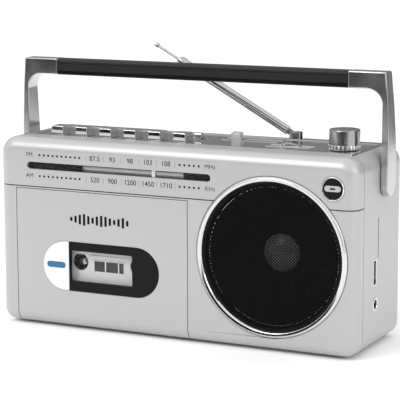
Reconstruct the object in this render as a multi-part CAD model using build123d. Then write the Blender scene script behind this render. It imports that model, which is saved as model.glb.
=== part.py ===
"""Portable radio cassette player, in millimetres.

X runs along the front from left to right, Y from the front to the back and Z up. The origin is on the
resting plane, under the middle of the whole player. Every piece is drawn with its heights measured from the
underside of the case, and save() lifts it by the height of the feet.
"""
import math
import os

from build123d import *

# Driving dimensions
WIDTH = 250.0
DEPTH = 79.0
HEIGHT = 122.5
WALL = 2.4
FOOT_HEIGHT = 1.5
RING_PROUD = 1.4
FRONT = (RING_PROUD - DEPTH) / 2
BACK = FRONT + DEPTH

TOP_CORNER = 11.0
BOTTOM_CORNER = 8.6
FRONT_EDGE = 8.0
BACK_EDGE = 5.0
PARTING = FRONT + 13.2
SEAM_Z = 91.0
SEAM_GAP = 0.6

DOOR_LEFT = -111.6
DOOR_RIGHT = 12.6
DOOR_TOP = 89.4
DOOR_GAP = 0.4
DOOR_PIVOT = (FRONT + FRONT_EDGE, FRONT_EDGE)
DOOR_TAIL_DEG = 40.0

WINDOW_LEFT = -92.0
WINDOW_RIGHT = -7.4
WINDOW_Z = 40.6
WINDOW_R = 16.2
LENS_LEFT = -71.8
LENS_RIGHT = -26.5
LENS_LOW = 31.1
LENS_HIGH = 51.1

CASSETTE_X = -46.4
CASSETTE_LENGTH = 100.4
CASSETTE_BOTTOM = 13.4
CASSETTE_HEIGHT = 63.8
CASSETTE_FRONT = FRONT + 4.2
CASSETTE_THICK = 12.0
CASSETTE_THIN = 8.7
HUB_Z = 42.9
HUB_SPACING = 42.5
HUB_X = (CASSETTE_X - HUB_SPACING / 2, CASSETTE_X + HUB_SPACING / 2)
SIDE_OPENING = 25.0

DECK_Y = FRONT + 18.0
DECK_THICK = 1.5
HEAD_STROKE = 5.6
CAPSTAN = (CASSETTE_X + SIDE_OPENING, 70.2)
CAPSTAN_R = 1.2
ROLLER_R = 6.0
FLYWHEEL_R = 20.0
MOTOR = (-85.0, 70.2)
PULLEY_R = 4.0

KEY_NAMES = ("record", "play", "rewind", "forward", "stop_eject", "pause")
KEY_FIRST_X = -95.5
KEY_PITCH = 17.95
KEY_WIDTH = 8.8
KEY_FRONT = FRONT + 25.8
KEY_BACK = FRONT + 36.8
KEY_TOP = 127.8
KEY_SHAFT = (FRONT + 50.0, 115.2)
KEY_SHAFT_R = 1.5

SPEAKER = (69.5, 58.5)
RING_R = 50.1
GRILLE_R = 46.3

SLOT_LEFT = -103.3
SLOT_RIGHT = 28.8
SLOT_Z = 104.8
SLOT_HEIGHT = 4.6
POINTER_X = -12.4

BADGE = (109.8, 103.6)
BADGE_R = 7.5

PANEL_TOP = 121.9
PANEL_THICK = 2.2
PANEL_X = 113.0
PANEL_FRONT = FRONT + 20.5
PANEL_BACK = FRONT + 67.0

KNOB = (101.4, FRONT + 40.0)
KNOB_R = 9.6
KNOB_LOW = 122.4
KNOB_TOP = 134.8
WHEEL = (65.8, 110.2)
WHEEL_R = 14.0
WHEEL_Y = FRONT + 38.5
BAND_SLOT = (13.6, 50.8, FRONT + 54.8)
BAND_KNOB_X = 21.6
MODE_SLOT = (-13.3, 2.7, FRONT + 49.2)
MODE_KNOB_X = -3.1

HANDLE_PIVOT = (FRONT + 46.8, 101.0)
HANDLE_FRONT = FRONT + 39.4
HANDLE_TOP = 170.7
GRIP_HALF = 103.2
GRIP_HEIGHT = 10.7
PIN_R = 3.0

ANTENNA = (55.0, FRONT + 72.5, 124.0)
ANTENNA_TILT = 28.8
ANTENNA_TUBE = 94.5
ANTENNA_R = 2.9
CHANNEL_Z = 120.2

BAY_HALF = 53.0
BAY_LOW = 8.0
BAY_HIGH = 64.0
BAY_FRONT = BACK - 31.0
BATTERY_DOOR_HALF = 58.0
BATTERY_PIVOT = (BACK - 1.3, 8.5)
BATTERY_DOOR_TOP = 66.0

RUNNING = 0.05


# Helpers
def save(name, *solids):
    """Lifts a piece onto the feet and writes it as parts/NAME.step."""
    lifted = [s.moved(Location((0, 0, FOOT_HEIGHT))) for s in solids]
    shape = lifted[0] if len(lifted) == 1 else Compound(children=lifted)
    shape.label = name
    export_step(shape, f"parts/{name}.step")


def block(x0, x1, y0, y1, z0, z1):
    """A box between two corners."""
    centre = ((x0 + x1) / 2, (y0 + y1) / 2, (z0 + z1) / 2)
    return Pos(*centre) * Box(abs(x1 - x0), abs(y1 - y0), abs(z1 - z0))


def prism_x(sketch, x0, x1):
    """A sketch in Y and Z, extruded along X."""
    return extrude(Plane((x0, 0, 0), x_dir=(0, 1, 0), z_dir=(1, 0, 0)) * sketch, amount=x1 - x0)


def prism_y(sketch, y0, y1):
    """A sketch in X and Z, extruded along Y."""
    return extrude(Plane((0, y1, 0), x_dir=(1, 0, 0), z_dir=(0, -1, 0)) * sketch, amount=y1 - y0)


def prism_z(sketch, z0, z1):
    """A sketch in X and Y, extruded along Z."""
    return extrude(Plane((0, 0, z0)) * sketch, amount=z1 - z0)


def rod_x(y, z, r, x0, x1):
    return prism_x(Pos(y, z) * Circle(r), x0, x1)


def rod_y(x, z, r, y0, y1):
    return prism_y(Pos(x, z) * Circle(r), y0, y1)


def rod_z(x, y, r, z0, z1):
    return prism_z(Pos(x, y) * Circle(r), z0, z1)


def turned_y(x, z, points):
    """A solid turned about an axis along Y, from an outline of radius and Y."""
    outline = Plane((x, 0, z), x_dir=(1, 0, 0), z_dir=(0, 0, 1)) * make_face(Polyline(points, close=True))
    return revolve(outline, Axis((x, 0, z), (0, 1, 0)))


def tube_y(x, z, r_out, r_in, y0, y1):
    return rod_y(x, z, r_out, y0, y1) - rod_y(x, z, r_in, y0 - 1, y1 + 1)


def both_sides(solid):
    """A solid and its mirror image across the middle of the case."""
    return [solid, solid.mirror(Plane.YZ)]


# Case
def case_form(inset):
    """The outside of the case, or the same form a distance inside it."""
    side = Pos(0, HEIGHT / 2) * Rectangle(WIDTH - 2 * inset, HEIGHT - 2 * inset)
    side = fillet(side.vertices().group_by(Axis.Y)[-1], TOP_CORNER - inset)
    side = fillet(side.vertices().group_by(Axis.Y)[0], BOTTOM_CORNER - inset)
    form = prism_y(side, FRONT + inset, BACK - inset)
    form = fillet(form.faces().sort_by(Axis.Y)[0].edges(), FRONT_EDGE - inset)
    return fillet(form.faces().sort_by(Axis.Y)[-1].edges(), BACK_EDGE - inset)


def front_shell():
    """The whole front moulding, before the seam parts it into two."""
    shell = (case_form(0) - case_form(WALL)) & block(-WIDTH, WIDTH, FRONT - 1, PARTING - 0.25, -1, HEIGHT + 1)
    shell -= rod_y(*SPEAKER, GRILLE_R + 0.2, FRONT - 1, FRONT + WALL + 1)
    shell -= rod_y(*SPEAKER, RING_R + 0.3, FRONT - 1, FRONT + 1.2)
    return shell


def front_panel(shell):
    """The lower front, open for the cassette door, with the door's two pins."""
    low = SEAM_Z - SEAM_GAP / 2
    panel = shell & block(-WIDTH, WIDTH, FRONT - 1, PARTING, -1, low)
    ledge = block(-118, 16, FRONT + 0.5, FRONT + 10, low - 0.9, low) - rod_y(*SPEAKER, 48.5, FRONT, PARTING)
    panel += ledge
    opening = block(DOOR_LEFT - DOOR_GAP, DOOR_RIGHT + DOOR_GAP, FRONT - 1, PARTING, -1, low - 0.9)
    panel -= opening
    y, z = DOOR_PIVOT
    for x0, x1, pin0, pin1 in ((-117, -112.4, -116, -108.4), (13.4, 17.5, 9.4, 17)):
        lug = block(x0, x1, FRONT + 1.0, y + 4, z - 6.5, z + 5)
        panel += (lug & case_form(0.5)) + rod_x(y, z, 1.5, pin0, pin1)
    return panel


def dial_panel(shell):
    """The upper front with the dial slot, the rim that reaches back to the top panel and a seam ledge."""
    high = SEAM_Z + SEAM_GAP / 2
    panel = shell & block(-WIDTH, WIDTH, FRONT - 1, PARTING, high, HEIGHT + 1)
    panel += block(-PANEL_X, PANEL_X, PARTING - 1, PANEL_FRONT - 0.25, HEIGHT - WALL, HEIGHT)
    ledge = block(-118, 16, FRONT + 0.5, FRONT + 10, high, high + 0.9) - rod_y(*SPEAKER, 50.4, FRONT, PARTING)
    panel += ledge
    slot = SlotOverall(SLOT_RIGHT - SLOT_LEFT, SLOT_HEIGHT)
    panel -= prism_y(Pos((SLOT_LEFT + SLOT_RIGHT) / 2, SLOT_Z) * slot, FRONT - 1, FRONT + WALL + 1)
    panel -= rod_y(*BADGE, BADGE_R - 0.7, FRONT - 1, FRONT + WALL + 1)
    return panel - rod_y(*BADGE, BADGE_R + 0.15, FRONT - 1, FRONT + 0.8)


def screw_places():
    return [(x, z) for x in (-113, 113) for z in (14, 90)] + [(-62, 100), (30, 100)]


def rear_cabinet():
    """The rear moulding: back, sides, bottom and rear top, with the battery bay and all bosses."""
    form = case_form(0)
    shell = (form - case_form(WALL)) & block(-WIDTH, WIDTH, PARTING + 0.25, BACK + 1, -1, HEIGHT + 1)
    shell -= block(DOOR_LEFT - 1, DOOR_RIGHT + 1, PARTING, FRONT + 14.4, -1, WALL + 2)
    shell += block(-PANEL_X - 2, PANEL_X + 2, PARTING + 0.25, PANEL_BACK + 2, 117.6, HEIGHT - 1) & form
    shell -= block(-PANEL_X - 0.2, PANEL_X + 0.2, PARTING, PANEL_BACK + 0.2, PANEL_TOP - PANEL_THICK - 0.1, 125)
    shell -= block(-PANEL_X + 2, PANEL_X - 2, PARTING, PANEL_BACK - 2, 115, 125)
    x, y, _ = ANTENNA
    shell += block(-46, 64, PANEL_BACK + 0.2, BACK, 116.8, HEIGHT - 1) & form
    shell += rod_z(x, y, 5.2, 108, HEIGHT) & form
    shell -= block(-42, x, y - 3.8, y + 3.8, CHANNEL_Z, HEIGHT + 1) + rod_z(x, y, 4.9, CHANNEL_Z, HEIGHT + 1)
    shell -= rod_z(x, y, 3.8 + RUNNING, 100, HEIGHT + 1)
    for x, z in screw_places():
        boss = rod_y(x, z, 5.2, BACK - 14, BACK - 0.8) & form
        shell += boss
        shell -= rod_y(x, z, 3.1, BACK - 4, BACK + 1) + rod_y(x, z, 1.6, BACK - 16, BACK)
    y, z = HANDLE_PIVOT
    for side in both_sides(rod_x(y, z, 6.5, 117, WIDTH / 2 - 1)):
        shell += side
    shell -= rod_x(y, z, PIN_R + RUNNING, -WIDTH, WIDTH)
    shell += battery_bay()
    shell -= battery_opening()
    return shell - side_ports() - inlet_opening()


def battery_bay():
    """A box open to the back that holds the cells."""
    t = 1.4
    outer = block(-BAY_HALF - t, BAY_HALF + t, BAY_FRONT - t, BACK - 1, BAY_LOW - t, BAY_HIGH + t)
    return outer - block(-BAY_HALF, BAY_HALF, BAY_FRONT, BACK, BAY_LOW, BAY_HIGH)


def battery_opening():
    """The hole that the battery door fills, with the holes for its pins."""
    y, z = BATTERY_PIVOT
    half = BATTERY_DOOR_HALF + 0.3
    hole = block(-half, half, BACK - WALL - 0.1, BACK + 1, z - 1.5, BATTERY_DOOR_TOP + 0.3)
    hole += rod_x(y, z, 0.85, -BATTERY_DOOR_HALF - 2.2, BATTERY_DOOR_HALF + 2.2)
    return hole & block(-half - 3, half + 3, BACK - WALL - 0.2, BACK + 2, 0, HEIGHT)


def side_ports():
    """The card slot, the socket slot and the phone jack hole in the right side."""
    x0 = WIDTH / 2 - WALL - 1
    x1 = WIDTH / 2 + 1
    ports = block(x0, x1, FRONT + 37.6, FRONT + 39.2, 56.5, 81.5)
    ports += block(x0, x1, FRONT + 29.9, FRONT + 34.9, 40.2, 55.8)
    return ports + rod_x(FRONT + 33.8, 27.8, 4.2, x0, x1)


def inlet_opening():
    return block(77.2, 98.8, BACK - WALL - 1, BACK + 1, 13.2, 24.8)


def top_panel():
    """The glossy control plate let into the top, with its key openings, slots and shaft hangers."""
    low = PANEL_TOP - PANEL_THICK
    panel = block(-PANEL_X, PANEL_X, PANEL_FRONT, PANEL_BACK, low, PANEL_TOP)
    for x in key_places():
        half = KEY_WIDTH / 2 + 0.6
        panel -= block(x - half, x + half, KEY_FRONT - 1.5, KEY_BACK + 1.5, low - 1, PANEL_TOP + 1)
    for x0, x1, y in (BAND_SLOT, MODE_SLOT):
        panel -= block(x0, x1, y - 1.5, y + 1.5, low - 1, PANEL_TOP + 1)
    panel -= block(51.4, 80.4, WHEEL_Y - 2.6, WHEEL_Y + 2.6, low - 1, PANEL_TOP + 1)
    panel -= rod_z(*KNOB, 4.2, low - 1, PANEL_TOP + 1)
    y, z = KEY_SHAFT
    for x in (-106, 6):
        hanger = block(x - 1.5, x + 1.5, y - 4, y + 4, z - 4, low)
        panel += hanger - rod_x(y, z, KEY_SHAFT_R, x - 3, x + 3)
    return panel


# Cassette door
def cassette_door():
    """The door panel, which wraps under the case about its own pivot, with an ear at each end."""
    y, z = DOOR_PIVOT
    r_out = FRONT_EDGE
    r_in = FRONT_EDGE - WALL
    disc = Pos(y, z) * (Circle(r_out) - Circle(r_in))
    tail = math.radians(DOOR_TAIL_DEG)
    reach = 3 * r_out
    sector = make_face(Polyline([(y, z), (y - reach, z), (y - reach, z - reach),
                                 (y + reach * math.sin(tail), z - reach * math.cos(tail))], close=True))
    wrap = disc & sector
    flat = Pos(FRONT + WALL / 2, (z + DOOR_TOP) / 2) * Rectangle(WALL, DOOR_TOP - z)
    door = prism_x(flat, DOOR_LEFT, DOOR_RIGHT) + prism_x(wrap, DOOR_LEFT, DOOR_RIGHT)
    pill = SlotOverall(WINDOW_RIGHT - WINDOW_LEFT, 2 * WINDOW_R)
    door -= prism_y(Pos((WINDOW_LEFT + WINDOW_RIGHT) / 2, WINDOW_Z) * pill, FRONT - 1, FRONT + WALL + 1)
    for x0, x1 in ((DOOR_LEFT + 0.2, DOOR_LEFT + 2.8), (DOOR_RIGHT - 2.8, DOOR_RIGHT - 0.2)):
        door += rod_x(y, z, r_in + 0.1, x0, x1) - rod_x(y, z, 1.5 + RUNNING, x0 - 1, x1 + 1)
    door -= rod_x(y, z, 1.5 + RUNNING, DOOR_LEFT, DOOR_RIGHT)
    return door + block(-54, -44, FRONT + WALL, FRONT + 5.5, 83.5, 87.5)


def window_parts():
    """The black window bezel, the white badge plate at its left end and the clear lens."""
    pill = SlotOverall(WINDOW_RIGHT - WINDOW_LEFT - 0.3, 2 * WINDOW_R - 0.3)
    plate = prism_y(Pos((WINDOW_LEFT + WINDOW_RIGHT) / 2, WINDOW_Z) * pill, FRONT - 0.4, FRONT + WALL)
    split = LENS_LEFT - 0.9
    badge = plate & block(WINDOW_LEFT - 1, split, FRONT - 1, FRONT + 4, 0, DOOR_TOP)
    bezel = plate & block(split, WINDOW_RIGHT + 1, FRONT - 1, FRONT + 4, 0, DOOR_TOP)
    bezel -= block(LENS_LEFT, LENS_RIGHT, FRONT - 1, FRONT + 4, LENS_LOW, LENS_HIGH)
    lens = block(LENS_LEFT, LENS_RIGHT, FRONT - 0.1, FRONT + 1.5, LENS_LOW, LENS_HIGH)
    return bezel, badge, lens


def cassette_holder():
    """A bent cradle on the back of the door: a shelf under the cassette and a rail at each side."""
    x0 = CASSETTE_X - CASSETTE_LENGTH / 2 - 0.3
    x1 = CASSETTE_X + CASSETTE_LENGTH / 2 + 0.3
    y0 = FRONT + WALL
    y1 = CASSETTE_FRONT + CASSETTE_THICK
    shelf_top = CASSETTE_BOTTOM - 0.1
    holder = block(x0 - 1.2, x1 + 1.2, y0, y1, shelf_top - 1.2, shelf_top)
    for x, out in ((x0, -1.2), (x1, 1.2)):
        holder += block(min(x, x + out), max(x, x + out), y0, y1, shelf_top - 1.2, 66)
        lip = 4.0 if out < 0 else -4.0
        holder += block(min(x + out, x + lip), max(x + out, x + lip), y1 - 1.0, y1, shelf_top - 1.2, 40)
    return holder


def cassette_shell():
    """The cassette's housing: thin body, thick trapezoid along the tape edge, hub holes and window."""
    half = CASSETTE_LENGTH / 2
    top = CASSETTE_BOTTOM + CASSETTE_HEIGHT
    step = (CASSETTE_THICK - CASSETTE_THIN) / 2
    y0 = CASSETTE_FRONT
    y1 = CASSETTE_FRONT + CASSETTE_THICK
    plate = Pos(CASSETTE_X, (CASSETTE_BOTTOM + top) / 2) * RectangleRounded(2 * half, CASSETTE_HEIGHT, 2.5)
    shell = prism_y(plate, y0 + step, y1 - step)
    bank = make_face(Polyline([(CASSETTE_X - 33, top), (CASSETTE_X + 33, top), (CASSETTE_X + 30.5, top - 16.5),
                               (CASSETTE_X - 30.5, top - 16.5)], close=True))
    shell += prism_y(bank, y0, y1)
    shell -= block(CASSETTE_X - half + 1.3, CASSETTE_X + half - 1.3, y0 + step + 1.3, y1 - step - 1.3,
                   CASSETTE_BOTTOM + 1.3, top - 13)
    shell -= block(CASSETTE_X - 11.5, CASSETTE_X + 11.5, y0 + 2.2, y1 - 2.2, top - 11, top + 1)
    for side in (-SIDE_OPENING, SIDE_OPENING):
        x = CASSETTE_X + side
        shell -= block(x - 7.5, x + 7.5, y0 + 2.2, y1 + 1, top - 8, top + 1)
        shell -= rod_y(x, CAPSTAN[1], 3.0, y0 - 1, y1 + 1)
    for x in HUB_X:
        shell -= rod_y(x, HUB_Z, 5.7, y0 - 1, y1 + 1)
    return shell - block(-57.0, -35.6, y0 - 1, y0 + step + 2, 43.5, 50.5)


def reel(x, tape_r):
    """A cassette hub with six drive teeth, and the tape wound on it."""
    y0 = CASSETTE_FRONT + 3.25
    y1 = y0 + 5.5
    hub = tube_y(x, HUB_Z, 10.9, 5.2, y0, y1)
    for k in range(6):
        tooth = block(x + 4.2, x + 5.6, y0, y1, HUB_Z - 0.7, HUB_Z + 0.7)
        hub += tooth.rotate(Axis((x, 0, HUB_Z), (0, 1, 0)), 60 * k)
    return hub, tube_y(x, HUB_Z, tape_r, 10.9, y0 + 0.85, y1 - 0.85)


# Tape deck
def deck_plate():
    """The steel plate that carries the deck, on four posts, with a bush for each shaft."""
    y1 = DECK_Y + DECK_THICK
    plate = block(-119, 20, DECK_Y, y1, 14, 100)
    for x in HUB_X:
        plate += rod_y(x, HUB_Z, 5.0, DECK_Y, y1 + 1.5)
        plate -= rod_y(x, HUB_Z, 2.6 + RUNNING, DECK_Y - 1, y1 + 3)
    plate += rod_y(*CAPSTAN, 4.0, DECK_Y, y1 + 4)
    plate -= rod_y(*CAPSTAN, CAPSTAN_R + RUNNING, DECK_Y - 1, y1 + 5)
    for x in (-114.3, 16.6):
        for z in (20, 80):
            plate += rod_y(x, z, 2.2, FRONT + WALL, DECK_Y)
    return plate


def spindle(x):
    """A drive spindle: reel disc, shaft and three splines that turn the cassette hub."""
    tip = FRONT + 7.5
    disc_y = DECK_Y + DECK_THICK + 1.6
    body = rod_y(x, HUB_Z, 2.6, tip + 1, disc_y + 3)
    body += turned_y(x, HUB_Z, [(0, tip - 0.5), (1.6, tip - 0.5), (2.6, tip + 1), (0, tip + 1)])
    for k in range(3):
        spline = block(x, x + 3.4, tip + 1, tip + 6, HUB_Z - 0.6, HUB_Z + 0.6)
        body += spline.rotate(Axis((x, 0, HUB_Z), (0, 1, 0)), 120 * k + 30)
    return body + tube_y(x, HUB_Z, 12.0, 2.0, disc_y, disc_y + 3)


def flywheel():
    """The capstan and its flywheel, grooved for the belt."""
    x, z = CAPSTAN
    y0 = FRONT + 26
    wheel = turned_y(x, z, [(0, y0), (FLYWHEEL_R + 1, y0), (FLYWHEEL_R + 1, y0 + 1.5), (FLYWHEEL_R, y0 + 1.7),
                            (FLYWHEEL_R, y0 + 4.3), (FLYWHEEL_R + 1, y0 + 4.5), (FLYWHEEL_R + 1, y0 + 6),
                            (0, y0 + 6)])
    return wheel + rod_y(x, z, CAPSTAN_R, FRONT + 7.5, y0 + 8)


def motor():
    """The motor can, held behind the deck by three posts, with a hole for its shaft."""
    x, z = MOTOR
    y0 = FRONT + 34
    can = rod_y(x, z, 16.0, y0, y0 + 22)
    can -= rod_y(x, z, 1.0 + RUNNING, y0 - 1, y0 + 12)
    for dx, dz in ((-11, -9), (-11, 9), (4, 14)):
        can += rod_y(x + dx, z + dz, 1.8, DECK_Y + DECK_THICK, y0)
    return can


def motor_pulley():
    x, z = MOTOR
    y0 = FRONT + 26
    pulley = turned_y(x, z, [(0, y0), (PULLEY_R + 1, y0), (PULLEY_R + 1, y0 + 1.4), (PULLEY_R, y0 + 1.7),
                             (PULLEY_R, y0 + 4.3), (PULLEY_R + 1, y0 + 4.6), (PULLEY_R + 1, y0 + 6), (0, y0 + 6)])
    return pulley + rod_y(x, z, 1.0, y0 + 6, y0 + 18)


def belt_outline(grow):
    """The loop round both belt tracks, a distance outside them."""
    span = CAPSTAN[0] - MOTOR[0]
    lean = math.asin((FLYWHEEL_R - PULLEY_R) / span)
    loop = Pos(*MOTOR) * Circle(PULLEY_R + grow) + Pos(*CAPSTAN) * Circle(FLYWHEEL_R + grow)
    points = []
    for (x, z), r, up in ((MOTOR, PULLEY_R, 1), (CAPSTAN, FLYWHEEL_R, 1), (CAPSTAN, FLYWHEEL_R, -1),
                          (MOTOR, PULLEY_R, -1)):
        points.append((x - (r + grow) * math.sin(lean), z + up * (r + grow) * math.cos(lean)))
    return loop + make_face(Polyline(points, close=True))


def drive_belt():
    ring = belt_outline(0.85) - belt_outline(RUNNING)
    return prism_y(ring, FRONT + 28.2, FRONT + 29.8)


def head_plate():
    """The sliding plate over the deck, with the arm and axle of the pinch roller."""
    plate = block(-86, -8, FRONT + 16.7, FRONT + 17.7, 79, 97)
    x, z = roller_place()
    return plate + rod_y(x, z, 1.2, FRONT + 7.0, FRONT + 16.7) + rod_y(x, z, 2.4, FRONT + 14.4, FRONT + 16.7)


def roller_place():
    return CAPSTAN[0], CAPSTAN[1] + CAPSTAN_R + ROLLER_R + 0.15 + HEAD_STROKE


def tape_heads():
    """The play head and the erase head, each stepped back over the cassette's rear wall."""
    heads = []
    for x, half in ((CASSETTE_X, 6.0), (CASSETTE_X - SIDE_OPENING, 4.5)):
        tip = block(x - half, x + half, FRONT + 7.0, FRONT + 13.4, 78.4, 84.5)
        heads.append(tip + block(x - half, x + half, FRONT + 7.0, FRONT + 16.7, 84.5, 89))
    return heads


def pinch_roller():
    x, z = roller_place()
    return tube_y(x, z, ROLLER_R, 1.2 + RUNNING, FRONT + 7.2, FRONT + 14.2)


# Controls
def key_places():
    return [KEY_FIRST_X + KEY_PITCH * k for k in range(len(KEY_NAMES))]


def key(x):
    """A piano key: a capped finger on a lever that turns on the key shaft."""
    y, z = KEY_SHAFT
    half = KEY_WIDTH / 2
    cap = block(x - half, x + half, KEY_FRONT, KEY_BACK, 113, KEY_TOP)
    cap = fillet(cap.edges().group_by(Axis.Z)[-1], 1.2)
    lever = block(x - 1.5, x + 1.5, KEY_BACK - 1, y, z - 2, z + 2)
    boss = rod_x(y, z, 3.2, x - 4, x + 4)
    return cap + lever + boss - rod_x(y, z, KEY_SHAFT_R + RUNNING, x - 6, x + 6)


def volume_knob():
    """The volume knob with its toothed skirt, hollow underneath, on the control's shaft."""
    x, y = KNOB
    cap = rod_z(x, y, KNOB_R, KNOB_LOW, KNOB_TOP)
    cap = fillet(cap.edges().group_by(Axis.Z)[-1], 1.0)
    for k in range(24):
        tooth = block(x + KNOB_R - 0.6, x + KNOB_R + 0.5, y - 0.55, y + 0.55, KNOB_LOW, KNOB_LOW + 2.6)
        cap += tooth.rotate(Axis((x, y, 0), (0, 0, 1)), 15 * k)
    return cap + rod_z(x, y, 3.0, 108, KNOB_LOW)


def volume_control():
    x, y = KNOB
    can = rod_z(x, y, 8.5, 94.6, 113) + rod_z(x, y, 4.0, 113, 119.0)
    return can - rod_z(x, y, 3.0 + RUNNING, 107, 120)


def tuning_wheel():
    """The tuning thumbwheel, milled round its rim, on its shaft."""
    x, z = WHEEL
    wheel = rod_y(x, z, WHEEL_R - 0.5, WHEEL_Y - 2, WHEEL_Y + 2)
    for k in range(40):
        rib = block(x - 0.55, x + 0.55, WHEEL_Y - 2, WHEEL_Y + 2, z + WHEEL_R - 1.2, z + WHEEL_R)
        wheel += rib.rotate(Axis((x, 0, z), (0, 1, 0)), 9 * k)
    return wheel + rod_y(x, z, 3.0, WHEEL_Y + 2, WHEEL_Y + 10)


def tuning_capacitor():
    x, z = WHEEL
    body = block(x - 10, x + 10, WHEEL_Y + 3, WHEEL_Y + 15, 94.6, 118)
    return body - rod_y(x, z, 3.0 + RUNNING, WHEEL_Y, WHEEL_Y + 11)


def slide_knob(x, y, width, depth, height, stem_low):
    """A slide switch's finger piece, with a stem down through its slot."""
    cap = block(x - width / 2, x + width / 2, y - depth / 2, y + depth / 2, PANEL_TOP + 0.2, PANEL_TOP + height)
    cap = chamfer(cap.edges().group_by(Axis.Z)[-1], 0.7)
    return cap + block(x - 1.6, x + 1.6, y - 1.2, y + 1.2, stem_low, PANEL_TOP + 0.2)


def dial_pointer():
    """The dial needle, with a foot that hangs on the dial cord above the slot."""
    needle = block(POINTER_X - 1.2, POINTER_X + 1.2, FRONT + 3.2, FRONT + 4.4, 101.5, 112)
    return needle + block(POINTER_X - 4, POINTER_X + 4, FRONT + 3.2, FRONT + 4.8, 112, 114.5)


def dial_parts():
    """The clear strip that fills the dial slot and the board behind the needle."""
    slot = SlotOverall(SLOT_RIGHT - SLOT_LEFT - 0.3, SLOT_HEIGHT - 0.3)
    middle = (SLOT_LEFT + SLOT_RIGHT) / 2
    lens = prism_y(Pos(middle, SLOT_Z) * slot, FRONT + 0.9, FRONT + WALL)
    lens += block(SLOT_LEFT - 2, SLOT_RIGHT + 2, FRONT + WALL, FRONT + WALL + 0.5, SLOT_Z - 4, SLOT_Z + 4)
    board = block(SLOT_LEFT - 3, SLOT_RIGHT + 3, FRONT + 5.2, FRONT + 6.4, 95.5, 113)
    return lens - rod_y(*SPEAKER, RING_R, FRONT, PARTING), board - rod_y(*SPEAKER, RING_R, FRONT, PARTING)


def mic_badge():
    """The round microphone badge: a turned bezel, a sunk disc and a slotted bar across it."""
    x, z = BADGE
    body = turned_y(x, z, [(0, FRONT + 0.2), (6.5, FRONT + 0.2), (6.8, FRONT - 0.6), (7.2, FRONT - 0.6),
                           (BADGE_R, FRONT - 0.1), (BADGE_R, FRONT + 0.8), (BADGE_R - 0.9, FRONT + 0.8),
                           (BADGE_R - 0.9, FRONT + 5), (0, FRONT + 5)])
    bar = prism_y(Pos(x, z + 0.2) * SlotOverall(10.6, 3.6), FRONT - 0.3, FRONT + 0.2)
    return body + bar - prism_y(Pos(x, z + 0.2) * SlotOverall(3.6, 1.0), FRONT - 1, FRONT + 2)


# Speaker
def speaker_ring():
    """The bright bevelled ring round the grille, seated in a step of the front."""
    y = FRONT + 1.2
    return turned_y(*SPEAKER, [(GRILLE_R, y), (RING_R, y), (RING_R, FRONT - 0.2), (RING_R - 1.2, FRONT - RING_PROUD),
                               (GRILLE_R + 0.9, FRONT - 0.9), (GRILLE_R, FRONT + 0.4)])


def speaker_grille():
    return turned_y(*SPEAKER, [(0, FRONT + 0.9), (GRILLE_R - 0.1, FRONT + 0.9), (GRILLE_R - 0.1, FRONT + 2.4),
                               (GRILLE_R - 1.6, FRONT + 2.4), (GRILLE_R - 1.6, FRONT + 1.7), (0, FRONT + 1.7)])


def speaker_basket():
    """The speaker's pressed frame, and its magnet with the pole piece."""
    y = FRONT + 4.6
    frame = turned_y(*SPEAKER, [(41, y), (47.5, y), (47.5, y + 1.4), (44, y + 1.4), (29, y + 20), (29, y + 21.4),
                                (14, y + 21.4), (14, y + 20), (27, y + 20), (41, y + 1.4)])
    for k in range(4):
        window = block(SPEAKER[0] + 30, SPEAKER[0] + 43, y + 3, y + 18, SPEAKER[1] - 12, SPEAKER[1] + 12)
        frame -= window.rotate(Axis((SPEAKER[0], 0, SPEAKER[1]), (0, 1, 0)), 90 * k + 45)
    magnet = turned_y(*SPEAKER, [(14, y + 21.4), (27, y + 21.4), (27, y + 33), (0, y + 33), (0, y + 19.5),
                                 (11.2, y + 19.5), (11.2, y + 30), (14, y + 30)])
    return frame, magnet


def speaker_surround():
    y = FRONT + 4.6
    return turned_y(*SPEAKER, [(37.0, y - 0.3), (38.4, y - 0.3), (39.2, y - 1.2), (40.4, y - 1.5), (41.6, y - 1.2),
                               (42.4, y - 0.5), (46.0, y - 0.5), (46.0, y), (42.0, y), (41.3, y - 0.7),
                               (40.4, y - 0.9), (39.5, y - 0.7), (38.7, y + 0.2), (37.0, y + 0.2)])


def speaker_cone():
    """The paper cone with its dust cap and voice coil."""
    y = FRONT + 4.9
    cone = turned_y(*SPEAKER, [(12, y + 12.6), (37.0, y), (38.4, y + 0.6), (37.2, y + 1.4), (13.2, y + 13.6),
                               (13.2, y + 22), (12.0, y + 22)])
    cap = Sphere(17.5) - Sphere(16.7)
    cap = Pos(SPEAKER[0], y + 25.4, SPEAKER[1]) * cap
    return cone + (cap & rod_y(*SPEAKER, 12.6, y + 5, y + 13.2))


# Handle
def handle_outline():
    """The side view of an arm: narrow at the grip, wider below, round about its pivot."""
    y, z = HANDLE_PIVOT
    r = y - HANDLE_FRONT
    upper = make_face(Polyline([(y - r, z), (y + r, z), (y + r, z + 14), (HANDLE_FRONT + 11, HANDLE_TOP),
                                (HANDLE_FRONT, HANDLE_TOP)], close=True))
    return upper + Pos(y, z) * Circle(r)


def handle_arm():
    """The right arm: a leaning cheek beside the case, a rounded inner corner and a pivot pin."""
    y, z = HANDLE_PIVOT
    low = HANDLE_TOP - GRIP_HEIGHT
    inner = 10.0
    x_in = 125.6
    points = [(GRIP_HALF, HANDLE_TOP), (127.9, HANDLE_TOP), (129.4, 150), (130.3, 126), (130.3, 110), (129.8, 92),
              (125.4, 92), (125.4, 126), (x_in, low - inner), (x_in, low), (GRIP_HALF, low)]
    front = make_face(Polyline(points, close=True))
    web = Pos(x_in - inner / 2, low - inner / 2) * Rectangle(inner, inner)
    front += web - Pos(x_in - inner, low - inner) * Circle(inner)
    arm = prism_y(front, HANDLE_FRONT - 1, HANDLE_FRONT + 20) & prism_x(handle_outline(), 90, 135)
    return arm + rod_x(y, z, PIN_R, 118, 125.6)


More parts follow.
